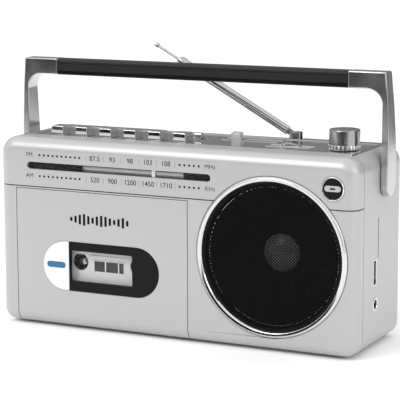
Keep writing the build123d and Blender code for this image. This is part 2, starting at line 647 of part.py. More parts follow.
def handle_grip():
    """The soft black grip between the two arms, with a groove along its foot."""
    low = HANDLE_TOP - GRIP_HEIGHT
    section = Pos(HANDLE_FRONT + 5.3, (low + HANDLE_TOP) / 2) * RectangleRounded(10.4, GRIP_HEIGHT, 2.0)
    grip = prism_x(section, -GRIP_HALF, GRIP_HALF)
    return grip - block(-GRIP_HALF, GRIP_HALF, HANDLE_FRONT - 1, HANDLE_FRONT + 0.6, low + 2.0, low + 2.7)


# Antenna
def along_antenna(solid):
    """Turns a solid drawn along -X at the antenna's pivot up to the antenna's resting tilt."""
    return solid.rotate(Axis(ANTENNA, (0, 1, 0)), ANTENNA_TILT)


def antenna_rod(r, start, end):
    x, y, z = ANTENNA
    return rod_x(y, z, r, x - end, x - start)


def antenna_swivel():
    """The swivel: a pin in the cabinet, a collar and a fork with the tilt pin across it."""
    x, y, z = ANTENNA
    seat = CHANNEL_Z + 0.1
    body = rod_z(x, y, 3.8, 110, seat) + rod_z(x, y, 4.4, seat, seat + 0.8)
    fork = rod_z(x, y, 4.4, seat + 0.8, z + 2.6) - block(x - 6, x + 6, y - 2.0, y + 2.0, seat + 0.8, z + 4)
    pin = Pos(x, y, z) * Rot(90, 0, 0) * Cylinder(1.1, 6.4)
    return body + fork + pin


def antenna_outer():
    """The widest tube, its ferrule and the tongue that fits in the fork."""
    x, y, z = ANTENNA
    end = ANTENNA_TUBE
    tongue = Pos(x, y, z) * Rot(90, 0, 0) * Cylinder(1.9, 3.7)
    tongue += block(x - 6.4, x, y - 1.85, y + 1.85, z - 1.5, z + 1.5)
    tongue -= Pos(x, y, z) * Rot(90, 0, 0) * Cylinder(1.1 + RUNNING, 6)
    tube = antenna_rod(ANTENNA_R, 6, end) - antenna_rod(2.1, 7.5, end + 1)
    ferrule = antenna_rod(ANTENNA_R + 0.25, end - 3, end) - antenna_rod(ANTENNA_R - 0.2, end - 4, end + 1)
    return along_antenna(tongue + tube + ferrule)


def antenna_middle():
    tube = antenna_rod(2.05, 8.5, ANTENNA_TUBE + 1.2) - antenna_rod(0.85, 10, ANTENNA_TUBE + 2)
    return along_antenna(tube)


def antenna_tip():
    """The thinnest rod with its end button."""
    end = ANTENNA_TUBE + 21.5
    rod = antenna_rod(0.8, 30, end) + antenna_rod(1.5, end - 3, end - 0.6) + antenna_rod(1.1, end - 0.6, end)
    return along_antenna(rod)


# Electrics and battery door
def battery_door():
    """The battery cover, rounded about its pins at the foot, with a latch along its head."""
    y, z = BATTERY_PIVOT
    half = BATTERY_DOOR_HALF
    door = block(-half, half, BACK - WALL, BACK - 0.1, z, BATTERY_DOOR_TOP)
    door += rod_x(y, z, 1.2, -half, half) + rod_x(y, z, 0.8, -half - 2, half + 2)
    door -= block(-9, 9, BACK - 0.9, BACK + 1, BATTERY_DOOR_TOP - 7, BATTERY_DOOR_TOP - 2)
    return door


def battery_contacts():
    """The contact plates at the ends of the bay, two of them with a spring boss."""
    plates = []
    for z in (22, 50):
        for x, out in ((-BAY_HALF, 1), (BAY_HALF, -1)):
            plate = block(min(x, x + 0.6 * out), max(x, x + 0.6 * out), BAY_FRONT + 8, BAY_FRONT + 22, z - 7, z + 7)
            tip = x + (0.6 + 2.4) * out
            boss = rod_x(BAY_FRONT + 15, z, 3.2, min(x + 0.6 * out, tip), max(x + 0.6 * out, tip))
            plates.append(plate + boss)
    return plates


def main_board():
    """The circuit board on the back of the deck bay, with its larger parts."""
    board = block(24, 112, FRONT + 36, FRONT + 64, 93.0, 94.6)
    for x, y, w, h in ((36, 10, 9, 8), (46, 18, 6, 6), (86, 18, 7, 5)):
        board += block(x - w / 2, x + w / 2, y - w / 2, y + w / 2, 94.6, 94.6 + h)
    return board


def transformer():
    """The mains transformer: laminations with the bobbin through them."""
    core = block(64, 106, 4, 30, 28, 56)
    bobbin = block(72, 98, 0, 34, 34, 50)
    return (core - bobbin) + bobbin


def mains_inlet():
    """The two-pin mains inlet with its pins standing in the recess."""
    body = block(77.3, 98.7, BACK - 20, BACK - 0.3, 13.3, 24.7) + block(75, 101, BACK - 5, BACK - WALL, 11, 27)
    body -= prism_y(Pos(88, 19) * SlotOverall(15.6, 7.8), BACK - 14, BACK + 1)
    for x in (83.7, 92.3):
        body += rod_y(x, 19, 1.2, BACK - 16, BACK - 4)
    return body


def media_module():
    """The small board with the socket shell and the card cage behind the right side."""
    x1 = WIDTH / 2 - WALL
    y = FRONT + 32.4
    shell = block(x1 - 14, WIDTH / 2 - 0.6, y - 2.4, y + 2.4, 40.3, 55.7)
    shell -= block(x1 - 12, WIDTH / 2, y - 2.1, y + 2.1, 41.0, 55.0)
    shell += block(x1 - 13, WIDTH / 2 - 1.6, y - 1.2, y + 0.8, 42.6, 53.4)
    cage = block(x1 - 16, x1, FRONT + 36.8, FRONT + 40.0, 55.8, 82.2)
    cage -= block(x1 - 14, x1 + 1, FRONT + 37.6, FRONT + 39.2, 56.5, 81.5)
    board = block(x1 - 18, x1 - 1, y + 2.4, FRONT + 36.8, 38, 84)
    return shell + board + cage


def jack_socket():
    y, z = FRONT + 33.8, 27.8
    body = block(WIDTH / 2 - WALL - 13, WIDTH / 2 - WALL, y - 5, y + 5, z - 5, z + 5)
    body += rod_x(y, z, 4.1, WIDTH / 2 - WALL, WIDTH / 2 - 0.3)
    return body - rod_x(y, z, 1.85, WIDTH / 2 - 14, WIDTH / 2 + 1)


def case_screws():
    """The screws that hold the cabinet to the front, with cross recesses."""
    screws = []
    for x, z in screw_places():
        screw = rod_y(x, z, 2.9, BACK - 4.0, BACK - 2.2) + rod_y(x, z, 1.5, BACK - 16, BACK - 4.0)
        for w, h in ((3.4, 0.8), (0.8, 3.4)):
            screw -= block(x - w / 2, x + w / 2, BACK - 3.2, BACK - 2, z - h / 2, z + h / 2)
        screws.append(screw)
    return screws


def rubber_feet():
    feet = []
    for x in (-98, 98):
        for y in (FRONT + 24, BACK - 14):
            foot = rod_z(x, y, 6.0, -FOOT_HEIGHT, 0)
            feet.append(fillet(foot.edges().group_by(Axis.Z)[0], 0.5))
    return feet


os.makedirs("parts", exist_ok=True)

shell = front_shell()
save("front_panel", front_panel(shell))
save("dial_panel", dial_panel(shell))
save("rear_cabinet", rear_cabinet())
save("top_panel", top_panel())
save("rubber_feet", *rubber_feet())
save("case_screws", *case_screws())

save("cassette_door", cassette_door())
for name, solid in zip(("window_bezel", "window_badge", "window_lens"), window_parts()):
    save(name, solid)
save("cassette_holder", cassette_holder())
save("cassette_shell", cassette_shell())
for name, x, tape_r in (("supply_reel", HUB_X[0], 20.6), ("takeup_reel", HUB_X[1], 13.5)):
    save(name, *reel(x, tape_r))

save("deck_plate", deck_plate())
save("supply_spindle", spindle(HUB_X[0]))
save("takeup_spindle", spindle(HUB_X[1]))
save("flywheel", flywheel())
save("motor", motor())
save("motor_pulley", motor_pulley())
save("drive_belt", drive_belt())
save("head_plate", head_plate())
save("tape_heads", *tape_heads())
save("pinch_roller", pinch_roller())

save("key_shaft", rod_x(*KEY_SHAFT, KEY_SHAFT_R, -109, 9))
for name, x in zip(KEY_NAMES, key_places()):
    save(f"{name}_key", key(x))
save("volume_knob", volume_knob())
save("volume_control", volume_control())
save("tuning_wheel", tuning_wheel())
save("tuning_capacitor", tuning_capacitor())
save("band_knob", slide_knob(BAND_KNOB_X, BAND_SLOT[2], 7.0, 5.0, 5.0, 112.0))
save("mode_knob", slide_knob(MODE_KNOB_X, MODE_SLOT[2], 5.5, 4.5, 3.8, 118.8))
dial_lens, dial_board = dial_parts()
save("dial_lens", dial_lens)
save("dial_board", dial_board)
save("dial_pointer", dial_pointer())
save("mic_badge", mic_badge())

save("speaker_ring", speaker_ring())
save("speaker_grille", speaker_grille())
save("speaker_basket", *speaker_basket())
save("speaker_surround", speaker_surround())
save("speaker_cone", speaker_cone())

right_arm = handle_arm()
save("handle_arm_right", right_arm)
save("handle_arm_left", right_arm.mirror(Plane.YZ))
save("handle_grip", handle_grip())

save("antenna_swivel", antenna_swivel())
save("antenna_outer", antenna_outer())
save("antenna_middle", antenna_middle())
save("antenna_tip", antenna_tip())

save("battery_door", battery_door())
save("battery_contacts", *battery_contacts())
save("main_board", main_board())
save("transformer", transformer())
save("mains_inlet", mains_inlet())
save("media_module", media_module())
save("jack_socket", jack_socket())
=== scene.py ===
import math

import bmesh
import bpy
from mathutils import Matrix, Vector


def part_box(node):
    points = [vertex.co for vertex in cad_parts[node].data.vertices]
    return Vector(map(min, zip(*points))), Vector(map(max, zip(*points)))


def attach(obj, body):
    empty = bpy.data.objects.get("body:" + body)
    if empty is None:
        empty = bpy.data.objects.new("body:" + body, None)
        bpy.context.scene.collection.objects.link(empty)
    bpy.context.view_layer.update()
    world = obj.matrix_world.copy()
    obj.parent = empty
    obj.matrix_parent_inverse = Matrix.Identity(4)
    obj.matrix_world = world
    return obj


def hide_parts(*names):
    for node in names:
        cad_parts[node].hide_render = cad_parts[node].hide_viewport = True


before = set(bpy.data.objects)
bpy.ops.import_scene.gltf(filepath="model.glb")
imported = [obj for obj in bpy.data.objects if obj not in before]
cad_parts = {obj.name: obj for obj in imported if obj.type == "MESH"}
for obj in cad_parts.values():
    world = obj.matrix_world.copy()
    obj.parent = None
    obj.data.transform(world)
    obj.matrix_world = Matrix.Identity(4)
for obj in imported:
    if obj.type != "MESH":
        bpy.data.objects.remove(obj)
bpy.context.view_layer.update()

# ---------------------------------------------------------------------------
# Room. A pale seamless floor in a white studio with soft boxes to the left and
# right. Matt flags, seen only by mirrors, stand low in front and behind, so the
# plated parts have something dark to show.
# ---------------------------------------------------------------------------
EYE = Vector((0.4898, -0.9886, 0.2724))
AIM = Vector((0.02175, -0.0388, 0.0923))
EYE_ROLL = -0.182
LENS = 156.3

scene = bpy.context.scene
scene.view_settings.view_transform = "Standard"


def stage_sheet(name, grey, width, depth, place):
    """A flat matt sheet that belongs to the studio."""
    bm = bmesh.new()
    bmesh.ops.create_grid(bm, x_segments=1, y_segments=1, size=0.5)
    bm.transform(place @ Matrix.Diagonal((width, depth, 1, 1)))
    mesh = bpy.data.meshes.new(name)
    bm.to_mesh(mesh)
    bm.free()
    sheet = bpy.data.objects.new(name, mesh)
    scene.collection.objects.link(sheet)
    paint = bpy.data.materials.new(name)
    paint.use_nodes = True
    shader = paint.node_tree.nodes["Principled BSDF"]
    shader.inputs["Base Color"].default_value = (grey, grey, grey, 1)
    shader.inputs["Roughness"].default_value = 1.0
    shader.inputs["Specular IOR Level"].default_value = 0.0
    mesh.materials.append(paint)
    return sheet


def flag(name, grey, left, right, y, high):
    """A standing matt card that only mirrors see."""
    place = Matrix.Translation(((left + right) / 2, y, high / 2)) @ Matrix.Rotation(math.pi / 2, 4, "X")
    card = stage_sheet(name, grey, right - left, high, place)
    for ray in ("camera", "diffuse", "transmission", "volume_scatter", "shadow"):
        setattr(card, f"visible_{ray}", False)


def studio_sky():
    """The room round the table, by height above the horizon."""
    world = bpy.data.worlds.new("studio")
    world.use_nodes = True
    scene.world = world
    tree = world.node_tree
    place = tree.nodes.new("ShaderNodeTexCoord")
    split = tree.nodes.new("ShaderNodeSeparateXYZ")
    height = tree.nodes.new("ShaderNodeMapRange")
    height.inputs["From Min"].default_value = -1
    ramp = tree.nodes.new("ShaderNodeValToRGB")
    stops = ((0.0, 1.0), (0.50, 1.05), (0.62, 0.86), (0.72, 0.90), (0.82, 1.08), (1.0, 1.15))
    while len(ramp.color_ramp.elements) < len(stops):
        ramp.color_ramp.elements.new(0.5)
    for element, (at, grey) in zip(ramp.color_ramp.elements, stops):
        element.position = at
        element.color = (grey, grey, grey, 1)
    tree.links.new(place.outputs["Generated"], split.inputs[0])
    tree.links.new(split.outputs["Z"], height.inputs["Value"])
    tree.links.new(height.outputs["Result"], ramp.inputs["Fac"])
    tree.links.new(ramp.outputs["Color"], tree.nodes["Background"].inputs["Color"])


def soft_box(name, place, size, watts):
    """A square area lamp aimed at the middle of the object."""
    data = bpy.data.lights.new(name, "AREA")
    data.shape = "SQUARE"
    data.size = size
    data.energy = watts
    lamp = bpy.data.objects.new(name, data)
    aimed = (AIM - Vector(place)).to_track_quat("-Z", "Y").to_matrix().to_4x4()
    lamp.matrix_world = Matrix.Translation(place) @ aimed
    scene.collection.objects.link(lamp)


stage_sheet("floor", 0.97, 24, 24, Matrix.Identity(4))
flag("front_flag", 0.01, -1.5, 1.1, -0.80, 0.30)
flag("back_flag", 0.20, -2.2, 1.4, 1.0, 0.80)
studio_sky()
soft_box("front_soft_box", (-0.7, -1.5, 1.5), 1.0, 17)
soft_box("right_soft_box", (1.9, -0.3, 0.9), 0.8, 5)

camera_data = bpy.data.cameras.new("camera")
camera_data.lens = LENS
camera = bpy.data.objects.new("camera", camera_data)
facing = (AIM - EYE).to_track_quat("-Z", "Y").to_matrix() @ Matrix.Rotation(math.radians(EYE_ROLL), 3, "Z")
camera.matrix_world = Matrix.Translation(EYE) @ facing.to_4x4()
scene.collection.objects.link(camera)
scene.camera = camera

# ---------------------------------------------------------------------------
# Case. Front, dial panel and rear cabinet are ABS mouldings sprayed with satin
# silver; they meet at a butt seam all round and are screwed together from the
# back. Every outer corner is slightly rounded, and four rubber feet are glued on.
# ---------------------------------------------------------------------------
MM = 0.001
FOOT_LIFT = 1.5
TO_ROW = Matrix.Scale(MM, 4) @ Matrix.Translation((0, 0, FOOT_LIFT))
FRONT_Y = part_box("front_panel")[0].y / MM
BACK_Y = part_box("rear_cabinet")[1].y / MM
SHARP = math.radians(32)
FLAT = math.radians(0.4)
ROOF_DEPTH = 3.5


def node_of(material, kind, **inputs):
    """A shader node with some of its inputs set."""
    node = material.node_tree.nodes.new(kind)
    for name, value in inputs.items():
        node.inputs[name.replace("_", " ")].default_value = value
    return node


def finish(name, colour, roughness, metallic=0.0, drift=(0.03, 25), grain=(0.03, 2200), wander=0.04,
           relief=(0.05, 900), stretch=(1, 1, 1), **sockets):
    """A surface with slow drifts of tone, a fine grain, uneven gloss and a shallow relief.

    drift, grain and relief are each (amount, pattern scale per metre); wander is how far the roughness
    strays; stretch draws the patterns out along an axis, as brushing does.
    """
    material = bpy.data.materials.new(name)
    material.use_nodes = True
    join = material.node_tree.links.new
    shader = material.node_tree.nodes["Principled BSDF"]
    place = node_of(material, "ShaderNodeTexCoord")
    mapping = node_of(material, "ShaderNodeMapping", Scale=stretch)
    join(place.outputs["Object"], mapping.inputs["Vector"])
    patterns = []
    for _, scale in (drift, grain, relief):
        noise = node_of(material, "ShaderNodeTexNoise", Scale=scale, Detail=3.0)
        join(mapping.outputs["Vector"], noise.inputs["Vector"])
        patterns.append(noise.outputs["Fac"])
    slow, fine = (node_of(material, "ShaderNodeMapRange", From_Min=0.3, From_Max=0.7,
                          To_Min=1 - amount, To_Max=1 + amount) for amount, _ in (drift, grain))
    both = node_of(material, "ShaderNodeMath")
    both.operation = "MULTIPLY"
    tone = node_of(material, "ShaderNodeHueSaturation", Color=(*colour, 1))
    join(patterns[0], slow.inputs["Value"])
    join(patterns[1], fine.inputs["Value"])
    join(slow.outputs["Result"], both.inputs[0])
    join(fine.outputs["Result"], both.inputs[1])
    join(both.outputs["Value"], tone.inputs["Value"])
    join(tone.outputs["Color"], shader.inputs["Base Color"])
    gloss = node_of(material, "ShaderNodeMapRange", From_Min=0.3, From_Max=0.7,
                    To_Min=max(0.02, roughness - wander), To_Max=roughness + wander)
    join(patterns[0], gloss.inputs["Value"])
    join(gloss.outputs["Result"], shader.inputs["Roughness"])
    bump = node_of(material, "ShaderNodeBump", Strength=relief[0], Distance=0.0002)
    join(patterns[2], bump.inputs["Height"])
    join(bump.outputs["Normal"], shader.inputs["Normal"])
    shader.inputs["Metallic"].default_value = metallic
    for socket, value in sockets.items():
        shader.inputs[socket.replace("_", " ")].default_value = value
    return material


def finished(name, bm, body, materials, stands_for=()):
    """A worked mesh in row metres becomes a named piece that rides on its body."""
    mesh = bpy.data.meshes.new(name)
    bm.to_mesh(mesh)
    bm.free()
    mesh.polygons.foreach_set("use_smooth", [True] * len(mesh.polygons))
    mesh.set_sharp_from_angle(angle=SHARP)
    for material in materials if isinstance(materials, tuple) else (materials,):
        mesh.materials.append(material)
    piece = bpy.data.objects.new(name, mesh)
    scene.collection.objects.link(piece)
    even = piece.modifiers.new("even_faces", "WEIGHTED_NORMAL")
    even.weight = 100
    even.keep_sharp = True
    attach(piece, body)
    if stands_for:
        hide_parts(*stands_for)
    return piece


def broken_edges(node, edge=0.3, segments=2, above=35):
    """A copy of a CAD node's mesh, merged, freed of cuts across flat faces, with its sharp edges rounded."""
    bm = bmesh.new()
    bm.from_mesh(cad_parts[node].data)
    bmesh.ops.remove_doubles(bm, verts=bm.verts, dist=2e-6)
    bmesh.ops.dissolve_limit(bm, angle_limit=FLAT, verts=bm.verts, edges=bm.edges, delimit={"NORMAL"})
    if edge:
        steep = math.radians(above)
        corners = [e for e in bm.edges if len(e.link_faces) == 2 and e.calc_face_angle() > steep]
        bmesh.ops.bevel(bm, geom=corners, offset=edge * MM, offset_type="OFFSET", segments=segments,
                        profile=0.5, affect="EDGES", clamp_overlap=False, loop_slide=True, material=-1)
    return bm


def moulding(name, node, body, slot, material, **edges):
    """A piece that is the CAD node itself with its edges rounded."""
    return finished(name, broken_edges(node, **edges), body, material, (node,))


def block(bm, x, y, z, edge=0.0, segments=2):
    """A box between two corners in case millimetres, with all its edges rounded."""
    low, high = Vector((x[0], y[0], z[0])), Vector((x[1], y[1], z[1]))
    place = Matrix.Translation((low + high) / 2) @ Matrix.Diagonal((*(high - low), 1))
    made = bmesh.ops.create_cube(bm, size=1, matrix=place)["verts"]
    if edge:
        rims = list({e for v in made for e in v.link_edges})
        bmesh.ops.bevel(bm, geom=rims, offset=edge, offset_type="OFFSET", segments=segments, profile=0.5,
                        affect="EDGES", material=-1)


def disc_y(bm, x, z, radius, y, sides=24):
    """A round plate that faces the front, from y[0] to y[1]."""
    place = Matrix.Translation((x, sum(y) / 2, z)) @ Matrix.Rotation(math.pi / 2, 4, "X")
    bmesh.ops.create_cone(bm, cap_ends=True, segments=sides, radius1=radius, radius2=radius,
                          depth=y[1] - y[0], matrix=place)


def turned_y(bm, x, z, outline, steps=96):
    """A ring turned about an axis along Y from a closed outline of radius and y."""
    corners = [bm.verts.new((x + r, y, z)) for r, y in outline]
    edges = [bm.edges.new((corners[i - 1], corners[i])) for i in range(len(corners))]
    bmesh.ops.spin(bm, geom=corners + edges, cent=(x, 0, z), axis=(0, 1, 0), angle=math.tau, steps=steps,
                   use_merge=True, use_duplicate=False)


def turned_x(bm, y, z, outline, steps=32):
    """A ring turned about an axis along X from a closed outline of radius and x."""
    corners = [bm.verts.new((x, y + r, z)) for r, x in outline]
    edges = [bm.edges.new((corners[i - 1], corners[i])) for i in range(len(corners))]
    bmesh.ops.spin(bm, geom=corners + edges, cent=(0, y, z), axis=(1, 0, 0), angle=math.tau, steps=steps,
                   use_merge=True, use_duplicate=False)


def in_row(bm):
    """Sets a mesh drawn in case millimetres on its feet, in metres, with its faces outwards."""
    bmesh.ops.remove_doubles(bm, verts=bm.verts, dist=1e-4)
    bmesh.ops.recalc_face_normals(bm, faces=bm.faces)
    bm.transform(TO_ROW)
    return bm


def carved(bm, cutter, materials):
    """Sinks a second mesh into a mesh; the walls of the cut take the last of the materials."""
    pair = []
    for part in (bm, cutter):
        mesh = bpy.data.meshes.new("carving")
        if part is cutter:
            for face in part.faces:
                face.material_index = len(materials) - 1
        part.to_mesh(mesh)
        part.free()
        for material in materials:
            mesh.materials.append(material)
        pair.append(bpy.data.objects.new("carving", mesh))
        scene.collection.objects.link(pair[-1])
    cut = pair[0].modifiers.new("cut", "BOOLEAN")
    cut.operation = "DIFFERENCE"
    cut.solver = "EXACT"
    cut.material_mode = "INDEX"
    cut.object = pair[1]
    bpy.context.view_layer.update()
    worked = pair[0].evaluated_get(bpy.context.evaluated_depsgraph_get())
    result = bmesh.new()
    result.from_mesh(bpy.data.meshes.new_from_object(worked))
    for spare in pair:
        bpy.data.objects.remove(spare)
    return result


silver = finish("satin_silver_paint", (0.47, 0.47, 0.475), 0.36, metallic=0.35, drift=(0.012, 14),
                grain=(0.05, 2600), wander=0.03, relief=(0.06, 1100))
# Glossy plate silver, the control plate's own finish; on the cabinet's top faces it is painted reflection.
plate_and_roof_reflection_silver = finish("gloss_silver_plate_and_painted_roof_reflection", (0.42, 0.42, 0.425), 0.14, metallic=0.9, drift=(0.03, 18),
                     grain=(0.05, 2400), wander=0.03, relief=(0.03, 800))
moulding("front_moulding", "front_panel", "case", "silver_plastic", silver, edge=0.25)
moulding("dial_moulding", "dial_panel", "case", "silver_plastic", silver, edge=0.25)
cabinet = broken_edges("rear_cabinet", edge=0.25)
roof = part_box("rear_cabinet")[1].z - ROOF_DEPTH * MM
# The cabinet's top faces take the darker, glossier plate silver: painted reflection, so the top of the one
# silver moulding reads as dark as the dark room it mirrors.
for face in cabinet.faces:
    face.material_index = int(face.normal.z > 0.97 and face.calc_center_median().z > roof)
VENT_LEFTS = (-103.0, 67.0)
VENT_LENGTH = 36.0
VENT_LOW = 40.0
VENT_PITCH = 4.6
VENT_HEIGHT = 1.9
VENT_DEPTH = 1.2
VENT_COUNT = 9
# The walls and floors of the blind vent slots are painted black: painted shade, for the dark inside seen
# through open vents.
vent_shade_black = finish("vent_shade_black", (0.03, 0.03, 0.031), 0.6, drift=(0.1, 60), grain=(0.2, 1500),
                    relief=(0.2, 1200))
vents = bmesh.new()
for left in VENT_LEFTS:
    for k in range(VENT_COUNT):
        z = VENT_LOW + VENT_PITCH * k
        block(vents, (left, left + VENT_LENGTH), (BACK_Y - VENT_DEPTH, BACK_Y + 1), (z, z + VENT_HEIGHT), 0.5)
cabinet_paints = (silver, plate_and_roof_reflection_silver, vent_shade_black)
cabinet = carved(cabinet, in_row(vents), cabinet_paints)
finished("cabinet_moulding", cabinet, "case", cabinet_paints, ("rear_cabinet",))
moulding("control_plate", "top_panel", "case", "panel_silver", plate_and_roof_reflection_silver, edge=0.2)

foot_rubber = finish("foot_rubber", (0.035, 0.035, 0.036), 0.75, drift=(0.1, 60), grain=(0.15, 1500),
                     relief=(0.3, 1500))
plain_steel = finish("plated_steel", (0.62, 0.62, 0.60), 0.32, metallic=1.0, drift=(0.05, 50),
                     grain=(0.05, 900), wander=0.08, relief=(0.08, 500), stretch=(1, 1, 5))
moulding("feet", "rubber_feet", "case", "foot_rubber", foot_rubber, edge=0.2)
moulding("screws", "case_screws", "case", "steel", plain_steel, edge=0.12)

# ---------------------------------------------------------------------------
# Tape deck. A zinc-plated plate carries the motor, the belt, a brass flywheel
# with its capstan, two black spindles whose right side is painted white as a
# highlight on the lit tooth, and the sliding head plate with the plated heads
# and the rubber pinch roller.
# ---------------------------------------------------------------------------
LIT_SIDE_OFFSET = 1.2
brass = finish("turned_brass", (0.62, 0.45, 0.20), 0.28, metallic=1.0, drift=(0.06, 80),
               grain=(0.05, 1500), wander=0.08, relief=(0.05, 600), stretch=(1, 8, 1))
chrome = finish("bright_chrome", (0.86, 0.86, 0.87), 0.06, metallic=1.0, drift=(0.02, 60),
                grain=(0.01, 900), wander=0.03, relief=(0.01, 250))
black_matte = finish("black_matte", (0.02, 0.02, 0.021), 0.55, drift=(0.1, 30), grain=(0.2, 1500),
                     relief=(0.15, 1200))
white_gloss = finish("white_gloss", (0.74, 0.75, 0.76), 0.2, drift=(0.01, 30), grain=(0.01, 1500),
                     relief=(0.02, 500))
solder_mask = finish("solder_mask", (0.03, 0.16, 0.08), 0.3, drift=(0.1, 200), grain=(0.2, 700),
                     relief=(0.3, 700))


def refinish(material, *nodes):
    """Gives CAD nodes that stay as they are their real finish."""
    for node in nodes:
        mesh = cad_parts[node].data
        mesh.materials.clear()
        mesh.materials.append(material)


refinish(plain_steel, "deck_plate", "motor", "key_shaft", "volume_control", "battery_contacts", "transformer",
         "media_module", "head_plate")
refinish(foot_rubber, "drive_belt", "pinch_roller")
refinish(brass, "flywheel", "motor_pulley")
refinish(chrome, "tape_heads")
refinish(solder_mask, "main_board")
refinish(black_matte, "mains_inlet", "jack_socket")
refinish(white_gloss, "tuning_capacitor")
for side in ("supply", "takeup"):
    drive = broken_edges(f"{side}_spindle", edge=0.1)
    low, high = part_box(f"{side}_spindle")
    # Faces right of the middle are white gloss and the rest black: a painted highlight on the lit side of the
    # spindle.
    for face in drive.faces:
        face.material_index = int(face.calc_center_median().x < (low.x + high.x) / 2 + LIT_SIDE_OFFSET * MM)
    finished(f"{side}_drive", drive, f"{side}_spindle", (white_gloss, black_matte),
             (f"{side}_spindle",))

# ---------------------------------------------------------------------------
# Cassette. A light grey moulded shell in two halves round two hubs, painted
# dark as the shade in their holes, and the brown tape, with a paper label and a
# smoked strip that is ruled into windows. It drops into the black cradle on the
# back of the door.
# ---------------------------------------------------------------------------
HUB_R = 10.9
PANE_Z = (37.2, 44.7)
PANE_X = (-57.5, -35.2)
RULE_PLACES = (-57.6, -49.0, -39.4, -35.3)
RULE_HALF = 0.4
RAIL_X = (-58.0, -34.9)
RAIL_HALF = 0.3
LABEL_X = (-84.0, -9.0)
LABEL_Z = (PANE_Z[1] + 3.2, 70.5)
LABEL_TAB_X = (-60.2, -32.6)
LABEL_TAB_Z = (PANE_Z[1] + 0.5, PANE_Z[1] + 3.6)
cassette_grey = finish("cassette_shell_grey", (0.66, 0.66, 0.65), 0.4, drift=(0.03, 40), grain=(0.05, 1600),
                       relief=(0.12, 1400))
tape_brown = finish("tape_brown", (0.055, 0.035, 0.025), 0.3, drift=(0.15, 60), grain=(0.2, 2500),
                    relief=(0.1, 2500))
# Near-black smoked plastic of the window strip; on the reel hubs it is painted shade.
smoked_and_hub_shade = finish("smoked_strip_and_painted_hub_shade", (0.03, 0.03, 0.032), 0.1, drift=(0.1, 60), grain=(0.1, 1200),
                relief=(0.02, 400))
moulding("cradle", "cassette_holder", "door", "black_matte", black_matte, edge=0)
moulding("tape_shell", "cassette_shell", "door", "cassette_plastic", cassette_grey, edge=0.2)
shell_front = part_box("cassette_shell")[0].y / MM + 1.65
strip = bmesh.new()
block(strip, PANE_X, (shell_front - 0.12, shell_front + 0.5), PANE_Z)
finished("tape_window", in_row(strip), "door", smoked_and_hub_shade)
rules = bmesh.new()
for x in RULE_PLACES:
    block(rules, (x - RULE_HALF, x + RULE_HALF), (shell_front - 0.3, shell_front),
          (PANE_Z[0] - RAIL_HALF, PANE_Z[1] + RAIL_HALF), 0.08)
for z in PANE_Z:
    block(rules, RAIL_X, (shell_front - 0.3, shell_front), (z - RAIL_HALF, z + RAIL_HALF), 0.08)
finished("tape_window_rules", in_row(rules), "door", white_gloss)
label = bmesh.new()
block(label, LABEL_X, (shell_front - 0.12, shell_front + 0.3), LABEL_Z, 0.05)
block(label, LABEL_TAB_X, (shell_front - 0.12, shell_front + 0.3), LABEL_TAB_Z, 0.05)
paper_white = finish("label_paper", (0.68, 0.68, 0.67), 0.6, drift=(0.02, 60), grain=(0.04, 2500),
                     relief=(0.2, 2500))
finished("tape_label", in_row(label), "door", paper_white)
for side in ("supply", "takeup"):
    wound = broken_edges(f"{side}_reel", edge=0)
    low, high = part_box(f"{side}_reel")
    axis = (low + high) / 2
    # Faces within HUB_R of the axis, the hub, take the near-black smoked finish: painted shade in the hub
    # hole.
    for face in wound.faces:
        middle = face.calc_center_median()
        face.material_index = int(math.hypot(middle.x - axis.x, middle.z - axis.z) > HUB_R * MM - 1e-5)
    finished(f"{side}_tape", wound, f"{side}_reel", (smoked_and_hub_shade, tape_brown), (f"{side}_reel",))

# ---------------------------------------------------------------------------
# Cassette door. One silver moulding that wraps under the case, a black gloss
# window bezel, a white plate at its left end with a plain blue pill, a clear
# pane, and a row of printed level bars above the window.
# ---------------------------------------------------------------------------
BAR_PITCH = 3.15
BAR_HEIGHTS = (2.6, 4.4, 6.2, 7.5, 5.4, 3.8, 5.8, 7.2, 6.4, 4.6, 3.0, 4.8, 6.6, 3.6)
BAR_LEFT = -70.6
BAR_HALF = 0.85
BAR_MIDDLE = 71.85
PILL_X = (-89.0, -75.2)
PILL_Z = (39.0, 43.0)
PRINT_SINK = 0.1
PRINT_PROUD = 0.03
black_gloss = finish("black_gloss", (0.006, 0.006, 0.007), 0.12, drift=(0.1, 30), grain=(0.1, 1500),
                     wander=0.03, relief=(0.02, 500), Specular_IOR_Level=0.12)
clear = finish("clear_window", (0.10, 0.10, 0.10), 0.05, drift=(0.01, 30), grain=(0.01, 1500), wander=0.02,
               relief=(0.01, 300), Alpha=0.04)
blue_ink = finish("blue_ink", (0.015, 0.13, 0.27), 0.3, drift=(0.05, 60), grain=(0.05, 1500),
                  relief=(0.02, 900))
print_black = finish("printing_black", (0.005, 0.005, 0.006), 0.45, drift=(0.1, 80), grain=(0.15, 2500),
                     relief=(0.1, 2000), Specular_IOR_Level=0.1)
moulding("door_moulding", "cassette_door", "door", "silver_plastic", silver, edge=0.25)
moulding("window_surround", "window_bezel", "door", "black_gloss", black_gloss, edge=0.3)
moulding("window_plate", "window_badge", "door", "white_plastic", white_gloss, edge=0.3)
moulding("window_pane", "window_lens", "door", "clear_plastic", clear, edge=0.2)
pill = bmesh.new()
plate_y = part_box("window_badge")[0].y / MM
block(pill, PILL_X, (plate_y - PRINT_PROUD, plate_y + 0.2), PILL_Z)
ends = [e for e in pill.edges if abs(e.verts[0].co.y - e.verts[1].co.y) > 0.1]
bmesh.ops.bevel(pill, geom=ends, offset=1.95, offset_type="OFFSET", segments=8, profile=0.5,
                affect="EDGES", material=-1)
finished("window_plate_pill", in_row(pill), "door", blue_ink)
bars = bmesh.new()
for k, height in enumerate(BAR_HEIGHTS):
    x = BAR_LEFT + BAR_PITCH * k
    block(bars, (x - BAR_HALF, x + BAR_HALF), (FRONT_Y - PRINT_PROUD, FRONT_Y + PRINT_SINK),
          (BAR_MIDDLE - height / 2, BAR_MIDDLE + height / 2))
finished("level_bars", in_row(bars), "door", print_black)

